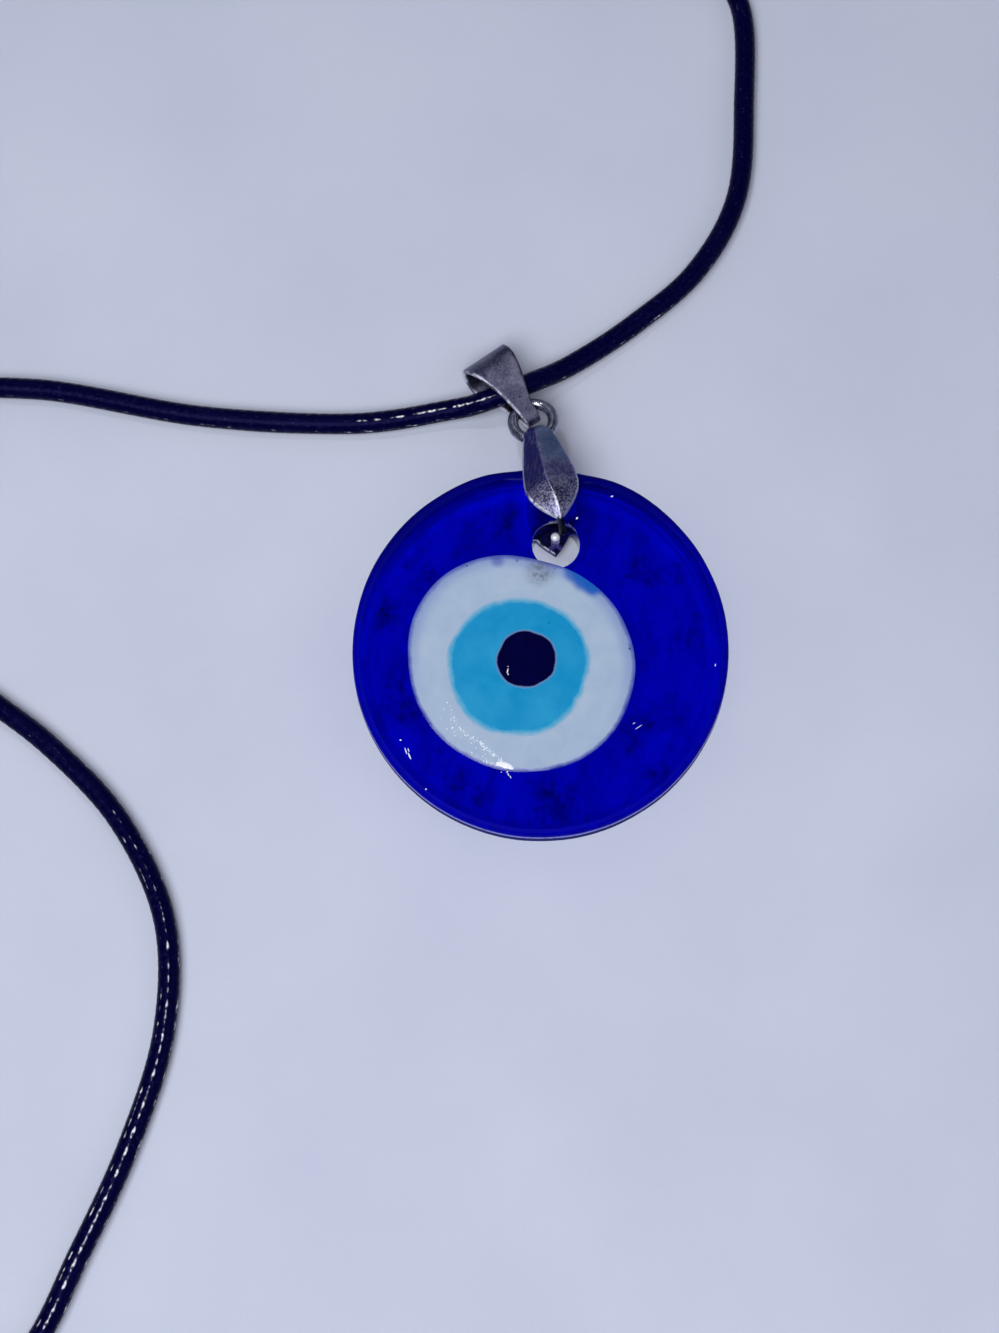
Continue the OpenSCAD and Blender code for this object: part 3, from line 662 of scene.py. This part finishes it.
def white_marks(n, v, base, at):
    """A grey-brown smudge under the hole, a light blue smear beside it, a blue notch and a few specks."""
    haze = n.rng(n.value("edge"), 0.84, 0.97, 0, 0.5, smooth=True)
    base = n.mix(n.times(haze, n.rng(n.value("py"), -6, 0, 0.15, 1)), base, srgb(104, 126, 190))
    grain = n.rng(n.noise(v, 3.5, 5, 0.65), 0.4, 0.62, 0, 1, smooth=True)
    smudge = n.times(n.spot(at, -0.95, 6.25, 1.6), n.plus(n.times(grain, 0.4), 0.32))
    base = n.mix(smudge, base, srgb(92, 92, 112))
    for x, y, size, strength in WHITE_SMEAR:
        base = n.mix(n.times(n.spot(at, x, y, size, 0.35), strength), base, srgb(28, 92, 182))
    base = n.mix(n.times(n.spot(at, -4.4, 6.6, 0.75, 0.2), 0.6), base, srgb(60, 75, 170))
    for x, y, size, strength in WHITE_SPECKS:
        base = n.mix(n.times(n.spot(at, x, y, size, 0.4), strength), base, srgb(40, 50, 110))
    return base


def iris_marks(n, v, base, at):
    """Paler clouds and a dark speck."""
    base = n.mix(n.rng(n.noise(v, 0.3, 2, 0.5), 0.4, 0.65, 0, 0.35), base, srgb(60, 165, 208))
    return n.mix(n.times(n.spot(at, 0.39, 2.22, 0.1, 0.4), 0.7), base, srgb(20, 50, 110))


def glare_trail():
    """Fine bits of glare along a line inside the white's lower left edge, some of them strayed outwards."""
    draw = random.Random(11)
    out = []
    for _ in range(150):
        degrees = -143 + 52 * draw.random() ** 0.6
        a = math.radians(degrees)
        line = float(np.interp(degrees, (-143, -124, -108, -96, -91), (6.5, 7.1, 7.1, 7.7, 8.0)))
        far = line + draw.gauss(0, 0.09)
        far = min(8.4, far + max(0.0, draw.uniform(-1.6, 1.1)))
        size = draw.uniform(0.018, 0.045)
        x, y = EYE_X + far * math.cos(a), EYE_Y + far * math.sin(a)
        out.append((x, y, T + crown_z(x, y) + 0.008, size * draw.uniform(1, 2.4), size,
                    draw.uniform(0.013, 0.021), degrees + 82 + draw.uniform(-20, 20)))
    return out


def glare_wedge():
    """The broad bits of glare at the white's lower edge, and the small ones beyond it on the glass."""
    on_white = ((-1.62, -9.52, 0.5, 0.2, 0), (-1.32, -9.57, 0.62, 0.25, -8), (-0.98, -9.66, 0.4, 0.16, -16))
    beyond = ((-1.1, -10.05, 0.1, 0.05, 40), (-0.98, -10.25, 0.16, 0.045, -55),
              (-0.78, -10.42, 0.12, 0.04, -60), (-1.55, -10.15, 0.05, 0.04, 0))
    out = [(x, y, T + crown_z(x, y) + 0.012, a, b, 0.03, turned) for x, y, a, b, turned in on_white]
    return out + [(x, y, T + 0.05, a, b, 0.03, turned) for x, y, a, b, turned in beyond]


PUPIL_GLARE = [(-2.28, -2.1, T + 0.12, 0.05, 0.22, 0.02, -6), (-2.2, -2.35, T + 0.12, 0.04, 0.1, 0.02, 10),
               (-2.3, -1.75, T + 0.12, 0.03, 0.06, 0.02, 0)]

layer("eye_white", "white_glass",
      opaque_glass("white_glass", [(0.3, srgb(160, 180, 206)), (0.7, srgb(174, 191, 211))], 0.042,
                   srgb(112, 122, 188), srgb(2, 2, 140), white_marks, (0.96, 0.965, 0.98)),
      (EYE_X, EYE_Y), EYE_R, WHITE_WAVES, 0.0, 1.1, bits=glare_trail() + glare_wedge())
layer("iris", "light_blue_glass",
      opaque_glass("light_blue_glass", [(0.3, srgb(18, 136, 192)), (0.7, srgb(34, 149, 199))], 0.1,
                   srgb(96, 168, 204), srgb(165, 184, 208), iris_marks),
      (-1.48, -1.6), 5.7, IRIS_WAVES, 0.012, 0.0)
layer("pupil", "dark_glass",
      opaque_glass("dark_glass", [(0.3, srgb(0, 0, 42)), (0.7, srgb(1, 1, 58))], 0.1,
                   srgb(104, 130, 182), srgb(34, 147, 198)),
      (-0.95, -0.95), 2.46, PUPIL_WAVES, 0.024, 0.0, sides=120, bits=PUPIL_GLARE)


# metal
def metal(name, colours, rough, scratch=1.0, turn=(0, 0, 0), stretch=(1, 1, 1), marks=None):
    """Stained metal of three colours from dark to light, with fine scratches along its grain."""
    dark, middle, light = colours
    n = Nodes(name)
    v = n.coords()
    stain = n.noise(v, 0.8, 5, 0.62, 0.3)
    mottle = n.noise(v, 5.5, 4, 0.7)
    line = n.noise(n.coords(stretch, turn), 2.2, 4, 0.6)
    base = n.ramp(n.plus(n.times(stain, 0.6), n.times(mottle, 0.4)),
                  [(0.36, dark), (0.5, middle), (0.64, light)])
    base = n.mix(n.rng(line, 0.54, 0.7, 0, 0.45), base, light)
    roughness = n.rng(n.plus(n.times(stain, 0.5), n.times(mottle, 0.5)), 0.35, 0.65, *rough)
    normal = n.bump(line, 0.2 * scratch, 0.00004)
    normal = n.bump(mottle, 0.3 * scratch, 0.00004, normal)
    shiny = 1.0
    if marks:
        base, shiny = marks(n, v, base, line)
    return n.finished(n.shader(Base_Color=base, Metallic=shiny, Roughness=roughness, Normal=normal))


# clasp: share of the leaf's length, of its half width and of its crown
LEAF = np.array([
    [0, 0.51, 0.0], [0.06, 0.58, 0.25], [0.14, 0.67, 0.5], [0.24, 0.76, 0.7], [0.34, 0.85, 0.84],
    [0.44, 0.93, 0.93], [0.54, 0.99, 1.0], [0.62, 1.0, 1.0], [0.7, 0.94, 0.96], [0.77, 0.81, 0.86],
    [0.84, 0.63, 0.68], [0.9, 0.43, 0.48], [0.95, 0.24, 0.28], [1, 0.03, 0.05]])
PIN_SLANT, PIN_LEN, PIN_R, PIN_V = math.radians(27), 2.25, 0.3, TIP_V + 0.38
BACK_PIN_U, BACK_PIN_V, BACK_PIN_R, BACK_PIN_Z = -0.56, 1.14, 0.375, (-0.9, 1.8)
FRONT_PIN_MARK, BACK_PIN_MARKS, PIN_SIDES = 1.35, (1.5, 1.7), 20


def strip():
    """The clasp's folded strip: stations of (u, v, z, heading, half width, crown, share).

    The share runs from 1 at the front leaf's tip to 0 in the fold, and on the back leaf from -1 to -2.
    """
    share = np.linspace(0, 1, 64)
    half = smoothed(np.interp(share, LEAF[:, 0], LEAF[:, 1]), 3) * LEAF_W / 2
    crown = smoothed(np.interp(share, LEAF[:, 0], LEAF[:, 2]), 5) * CROWN
    out = []
    for q, w, c in list(zip(share, half, crown))[:0:-1]:
        d = LEAF_LEN * (1 - q)
        out.append((0, TIP_V + d * math.cos(SLOPE), TIP_Z - d * math.sin(SLOPE), -SLOPE, w, c, q))
    dv, dz = FOLD_V - BACK_TOP_V, FOLD_Z + GAP
    turn = math.pi + math.asin(FOLD_R / math.hypot(dv, dz)) - math.atan2(dz, dv)
    for q in np.linspace(0, 1, 22):
        h = -SLOPE - q * (turn - SLOPE)
        w = FOLD_W / 2 + (half[0] - FOLD_W / 2) * max(0, 1 - 2.2 * q)
        out.append((0, FOLD_V - FOLD_R * math.sin(h), FOLD_Z + FOLD_R * math.cos(h), h, w, 0, 0))
    for i, (q, w, c) in enumerate(zip(share, half, crown)):
        h = -(turn + math.pi) / 2 if i == 0 else -math.pi
        out.append((BACK_U - BACK_SWAY * q, BACK_TOP_V - LEAF_LEN * q, -GAP, h, w, c, -1 - q))
    return out


def ridge_height(x, top):
    """Height of the leaf's face: two flats that meet in a ridge at top."""
    d = abs(x - top) / (1 + top if x < top else 1 - top)
    return 1 - (d * d + 0.0006) ** 0.5 * (0.8 + 0.2 * d)


def strip_ring(w, c, top):
    """One section of the strip, of half width w and crown c: (share across, place across, height)."""
    close = {round(top + k, 4) for k in (-0.04, -0.015, 0, 0.015, 0.04)}
    across = sorted(set(np.linspace(-1, 1, 21).round(3)) | close)
    lip = min(0.06, w * 0.3)
    out = [(x, min(max(x * w, lip - w), w - lip), c * max(ridge_height(x, top), 0) + SHEET) for x in across]
    out += [(1, w, SHEET - 0.07), (1, w, SHEET * 0.4)]
    out += [(x, x * w, c * max(ridge_height(x, top), 0)) for x in across[::-1]]
    return out + [(-1, -w, SHEET * 0.4), (-1, -w, SHEET - 0.07)]


def strip_mesh():
    """The strip's points, faces and values. Its faces go by the number of points in its last section."""
    verts, across, share, inset = [], [], [], []
    for u, v, z, h, w, c, q in strip():
        top = -0.13 + 0.2 * limited((q - 0.55) / 0.4) if q > 0 else 0.0
        ring = strip_ring(w, c, top)
        for x, a, d in ring:
            verts.append((u + a, v - d * math.sin(h), z + d * math.cos(h)))
            across.append(x)
            share.append(q)
            inset.append(w * (1 - abs(x)))
    sides = len(ring)
    rings = len(verts) // sides
    faces = tube_faces(rings, sides) + turned_over(caps(rings, sides))
    return verts, faces, across, share, inset


def round_pin(start, end, radius):
    """A pin between two points, with a round far end."""
    a, b = Vector(start), Vector(end)
    ahead = (b - a).normalized()
    aside = ahead.orthogonal().normalized()
    above = ahead.cross(aside)
    rings = [(a, radius), (b - ahead * radius * 0.8, radius)]
    for k in range(1, 7):
        q = math.pi / 2 * k / 6
        rings.append((b - ahead * radius * 0.8 * (1 - math.sin(q)), max(radius * math.cos(q), 0.01)))
    turns = [2 * math.pi * j / PIN_SIDES for j in range(PIN_SIDES)]
    verts = [tuple(c + (aside * math.cos(t) + above * math.sin(t)) * r) for c, r in rings for t in turns]
    return verts, turned_over(tube_faces(len(rings), PIN_SIDES)) + caps(len(rings), PIN_SIDES)


def painted_highlight_lines(n, v, x, q, rim, upper):
    """Painted highlights: bright lines on the front leaf's edges and ridge and the back leaf's edge, and on
    the back pin's end.
    """
    broken = n.rng(n.noise(v, 3.0, 3, 0.6), 0.4, 0.5, 0.2, 1)
    left, leaf = n.rng(x, -0.12, -0.05, 1, 0), n.rng(q, 1.05, 1.1, 1, 0)
    foot = n.times(left, n.rng(q, 0.66, 0.72, 0, 1), leaf, n.rng(rim, 0.1, 0.19, 1, 0))
    side = n.times(left, upper, n.rng(q, 0.02, 0.06, 0, 1), n.rng(rim, 0.05, 0.12, 1, 0))
    right = n.times(n.rng(x, 0.05, 0.2, 0, 1), n.rng(q, 0.5, 0.56, 0, 1), leaf, n.rng(rim, 0.04, 0.1, 1, 0))
    off_ridge = n.math("SUBTRACT", x, n.rng(q, 0.55, 0.95, -0.13, 0.07))
    ridge = n.add("Math", {0: off_ridge, 1: 0.0, 2: 0.06}, operation="COMPARE").outputs[0]
    ridge = n.times(ridge, n.rng(q, 0.7, 0.84, 0, 1, smooth=True), leaf)
    inner = n.times(left, n.rng(q, -1.58, -1.64, 0, 1), n.rng(rim, 0.1, 0.16, 0, 1),
                    n.rng(rim, 0.3, 0.4, 1, 0))
    painted_highlight = n.top_of(n.times(foot, broken), n.times(side, 0.45))
    painted_highlight = n.top_of(painted_highlight, n.top_of(n.times(right, 0.4), n.times(ridge, broken)))
    return n.top_of(painted_highlight, n.top_of(n.times(inner, broken), n.rng(q, 1.55, 1.68, 0, 1)), clamp=True)


def leaf_tones(n, v, base, line):
    """The front leaf: a left flat painted dark as shade, a right one painted bluish as reflection, grain
    below and lines of painted highlight.
    """
    x, q, rim = n.value("across"), n.value("share"), n.value("inset")
    # painted shade on the upper left flat, and a painted bluish reflection on the upper right flat
    left = n.rng(x, -0.22, -0.1, 1, 0, smooth=True)
    front = n.rng(q, -0.2, -0.1, 0, 1)
    upper = n.times(n.rng(q, 0.58, 0.7, 1, 0, smooth=True), front)
    base = n.mix(n.times(left, upper, n.rng(line, 0.52, 0.62, 1, 0.55)), base, (0.05, 0.05, 0.24))
    right = n.times(n.rng(x, -0.1, 0.1, 0, 1, smooth=True), n.rng(q, 0.3, 0.46, 1, 0, smooth=True))
    base = n.mix(n.times(n.times(right, upper), 0.6), base, (0.15, 0.27, 0.42))
    low = n.times(right, n.rng(q, 0.46, 0.6, 0, 1, smooth=True), front)
    base = n.mix(n.times(low, 0.5), base, (0.2, 0.18, 0.34))
    # the back leaf is painted dark as shade in the hole, and under the glass it is painted blue as light,
    # most at its edge
    base = n.mix(n.rng(q, -1.2, -1.5, 0, 0.6), base, (0.02, 0.025, 0.1))
    under = n.times(n.rng(q, -1.02, -1.1, 0, 1), n.rng(q, -1.76, -1.66, 0, 1))
    base = n.mix(under, base, n.mix(n.rng(rim, 0.05, 1.3, 0, 1), (0.04, 0.04, 1.0), (0.02, 0.02, 0.28)))
    # the front pin is painted dark as shade
    base = n.mix(n.times(n.rng(q, 1.2, 1.3, 0, 1), n.rng(q, 1.36, 1.42, 1, 0)), base, (0.008, 0.008, 0.035))
    grain = n.noise(v, 5.5, 4, 0.7)
    lower = n.times(n.rng(q, 0.5, 0.72, 0, 1, smooth=True), n.rng(q, 1.05, 1.1, 1, 0))
    base = n.mix(n.times(lower, n.rng(grain, 0.5, 0.4, 0, 0.7)), base, (0.03, 0.03, 0.09))
    base = n.mix(n.times(lower, n.rng(grain, 0.5, 0.6, 0, 0.6)), base, (0.6, 0.6, 0.7))
    painted_highlight = painted_highlight_lines(n, v, x, q, rim, upper)
    base = n.mix(painted_highlight, base, (0.86, 0.88, 0.98))
    return base, n.rest_of(n.times(n.top_of(painted_highlight, under), 0.85))


pin_start = Vector((0, PIN_V, TIP_Z + SHEET * 0.6))
pin_end = pin_start + Vector((0, -math.sin(PIN_SLANT), -math.cos(PIN_SLANT))) * PIN_LEN
back_pin = [(BACK_PIN_U, BACK_PIN_V, z) for z in BACK_PIN_Z]
strip_v, strip_f, strip_across, strip_share, strip_inset = strip_mesh()
clasp_v, clasp_f = joined((strip_v, strip_f), round_pin(pin_start, pin_end, PIN_R),
                          round_pin(*back_pin, BACK_PIN_R))
pin_points = len(clasp_v) - len(strip_v)
# marks of the pins' points: the front pin, painted dark as shade, the back pin's shaft, and its round end,
# which has a painted highlight
pin_share = [FRONT_PIN_MARK] * (8 * PIN_SIDES) + [BACK_PIN_MARKS[0]] * (2 * PIN_SIDES)
pin_share += [BACK_PIN_MARKS[1]] * (6 * PIN_SIDES)
leaf_metal = metal("clasp_metal", ((0.075, 0.068, 0.2), (0.22, 0.205, 0.42), (0.5, 0.5, 0.66)),
                   (0.25, 0.42), turn=(0, 0, -LEAN), stretch=(3.2, 0.35, 1.0), marks=leaf_tones)
build("pinch_clasp_look", clasp_v, clasp_f, CLASP, leaf_metal, "clasp_metal", "pinch_clasp",
      values={"across": strip_across + [0] * pin_points, "share": strip_share + pin_share,
              "inset": strip_inset + [1] * pin_points})

# ring, whose wire looks a little thicker than the solid's
RING_WIRE_R, RING_STEPS, RING_SIDES = 0.45, 112, 28


def ring_mesh():
    verts = []
    for i in range(RING_STEPS):
        a = 2 * math.pi * i / RING_STEPS
        for j in range(RING_SIDES):
            b = 2 * math.pi * j / RING_SIDES
            q = RING_R + RING_WIRE_R * math.cos(b)
            verts.append((q * math.cos(a), q * math.sin(a), RING_WIRE_R * math.sin(b)))
    return verts, tube_faces(RING_STEPS, RING_SIDES, closed=True)


ring_metal = metal("ring_metal", ((0.1, 0.1, 0.18), (0.28, 0.29, 0.38), (0.55, 0.56, 0.63)), (0.12, 0.3),
                   scratch=0.5)
build("jump_ring_look", *ring_mesh(), RING, ring_metal, "ring_metal", "jump_ring")

# band: places along it, and what its left and right edges have there of the width beyond the tip's
BAND_AT = [-1.05 * BAND_R, -0.6 * BAND_R, 0.04 * BAND_LEN, 0.31 * BAND_LEN, 0.62 * BAND_LEN, 0.86 * BAND_LEN,
           1.2 * BAND_LEN]
BAND_LEFT = (1, 0.98, 0.68, 0.36, 0.14, 0.04, 0)
BAND_RIGHT = (0.96, 0.99, 1.02, 0.82, 0.39, 0.1, -0.04)


def band_loop():
    """The band from the side, as (x, z, outward x, outward z): its bend, its two flats and its tip."""
    def arc(x, r, start, end, count):
        return [(x + r * math.cos(t), r * math.sin(t), math.cos(t), math.sin(t))
                for t in np.linspace(start, end, count)]

    def flat(a, b):
        return [tuple(np.array(a) + (np.array(b) - np.array(a)) * f) for f in np.linspace(0, 1, 30)[1:-1]]

    g = math.asin((BAND_R - BAND_TIP_R) / BAND_LEN)
    bend = arc(0, BAND_R, math.pi / 2 - g, 3 * math.pi / 2 + g, 64)
    tip = arc(BAND_LEN, BAND_TIP_R, -math.pi / 2 + g, math.pi / 2 - g, 24)
    return bend + flat(bend[-1], tip[0]) + tip + flat(tip[-1], bend[0])


def band_mesh():
    """The band's points and faces, and how far each point lies from its left edge."""
    slim, more = BAND_TIP_W / 2, (BAND_W - BAND_TIP_W) / 2
    fine = np.linspace(BAND_AT[0], BAND_AT[-1], 90)
    left = smoothed(np.interp(fine, BAND_AT, [slim + more * q for q in BAND_LEFT]), 30)
    right = smoothed(np.interp(fine, BAND_AT, [slim + more * q for q in BAND_RIGHT]), 30)
    verts, inset, loop = [], [], band_loop()
    for x, z, nx, nz in loop:
        a = -np.interp(x, fine, left)
        ys = np.linspace(a, np.interp(x, fine, right), 15)
        start, end = ys[0], ys[-1]
        ring = [(start + 0.05, 0.0)] + [(y, 0.0) for y in ys[1:-1]] + [(end - 0.05, 0.0)]
        ring += [(end, 0.05), (end, SHEET - 0.05), (end - 0.05, SHEET)]
        ring += [(y, SHEET) for y in ys[-2:0:-1]]
        ring += [(start + 0.05, SHEET), (start, SHEET - 0.05), (start, 0.05)]
        for y, d in ring:
            verts.append((x - nx * d, y, z - nz * d))
            inset.append(y - a)
    return verts, tube_faces(len(loop), len(verts) // len(loop), closed=True), inset


def band_tones(n, v, base, _):
    """Painted highlight along one edge, broken by darker places."""
    broken = n.rng(n.noise(v, 0.9, 3, 0.6), 0.44, 0.56, 0.1, 0.9)
    painted_highlight = n.times(n.rng(n.value("inset"), 0.06, 0.2, 1, 0), broken)
    return n.mix(painted_highlight, base, (0.8, 0.82, 0.92)), n.rest_of(n.times(painted_highlight, 0.8))


band_v, band_f, band_inset = band_mesh()
band_metal = metal("band_metal", ((0.04, 0.042, 0.11), (0.112, 0.112, 0.185), (0.24, 0.24, 0.34)),
                   (0.25, 0.45), turn=(0, 0, -BAND_LEAN), stretch=(2.5, 0.4, 1.0), marks=band_tones)
build("bail_band_look", band_v, band_f, BAND, band_metal, "band_metal", "bail_band",
      values={"inset": band_inset})

# the clasp of the cord keeps its solid
barrel_metal = metal("barrel_metal", ((0.2, 0.2, 0.26), (0.3, 0.3, 0.36), (0.42, 0.42, 0.48)), (0.24, 0.36),
                     scratch=0.25, stretch=(0.25, 3.0, 3.0))
clasp_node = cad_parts["clasp"]
clasp_node.data.materials.clear()
clasp_node.data.materials.append(barrel_metal)


# floor
def paper_material():
    n = Nodes("paper")
    v = n.coords()
    fibre = n.noise(v, 2.5, 6, 0.65)
    paper = n.ramp(n.noise(v, 0.05, 4, 0.5), [(0.3, (0.55, 0.585, 0.715)), (0.7, (0.6, 0.63, 0.755))])
    paper = n.mix(n.rng(fibre, 0.3, 0.7, 0.0, 0.06), paper, (0.4, 0.42, 0.55))
    return n.finished(n.shader(Base_Color=paper, Roughness=0.8, Specular_IOR_Level=0.2,
                               Normal=n.bump(fibre, 0.15, 0.00006)))


FLOOR_HALF = 4
floor_mesh = bpy.data.meshes.new("floor")
floor_mesh.from_pydata([(-FLOOR_HALF, -FLOOR_HALF, 0), (FLOOR_HALF, -FLOOR_HALF, 0),
                        (FLOOR_HALF, FLOOR_HALF, 0), (-FLOOR_HALF, FLOOR_HALF, 0)], [], [(0, 1, 2, 3)])
floor_mesh.materials.append(paper_material())
floor = bpy.data.objects.new("floor", floor_mesh)
bpy.context.collection.objects.link(floor)


# light
def lamp(name, at, aim, size, power, color):
    """A round lamp at a place, turned to another, in metres and watts."""
    data = bpy.data.lights.new(name, "AREA")
    data.shape = "DISK"
    data.size = size
    data.energy = power
    data.color = color
    ob = bpy.data.objects.new(name, data)
    ob.location = at
    ob.rotation_mode = "QUATERNION"
    ob.rotation_quaternion = (Vector(aim) - Vector(at)).to_track_quat("-Z", "Y")
    bpy.context.collection.objects.link(ob)


SOFT = (0.97, 0.98, 1.0)
lamp("spark", (-0.05, 0.062, 0.178), (0, 0, 0), 0.006, 0.035, (0.98, 0.98, 1.0))
lamp("upper", (-0.144, 0.26, 0.338), (0, 0, 0), 0.26, 0.06, SOFT)
lamp("right", (0.315, -0.045, 0.315), (0, 0, 0), 0.26, 0.17, SOFT)
lamp("lower", (-0.05, -0.125, 0.3), (0, -0.02, 0), 0.24, 0.91, SOFT)

# world: dark overhead, where the flat glass would mirror it, and paler towards the sides
world = bpy.data.worlds.new("world")
bpy.context.scene.world = world
world.use_nodes = True
tree = world.node_tree
background = tree.nodes["Background"]
background.inputs["Strength"].default_value = 0.3
direction, parts = tree.nodes.new("ShaderNodeTexCoord"), tree.nodes.new("ShaderNodeSeparateXYZ")
sky = tree.nodes.new("ShaderNodeValToRGB")
tree.links.new(direction.outputs["Generated"], parts.inputs[0])
tree.links.new(parts.outputs["Z"], sky.inputs["Fac"])
tree.links.new(sky.outputs["Color"], background.inputs["Color"])
low_sky, high_sky = sky.color_ramp.elements
low_sky.position, low_sky.color = 0.5, (0.6, 0.65, 0.85, 1)
high_sky.position, high_sky.color = 0.86, (0.005, 0.005, 0.012, 1)

scene = bpy.context.scene
scene.view_settings.view_transform = "Standard"
scene.cycles.caustics_refractive = False
scene.cycles.caustics_reflective = False
scene.cycles.max_bounces = 16
scene.cycles.transmission_bounces = 12
scene.cycles.transparent_max_bounces = 16
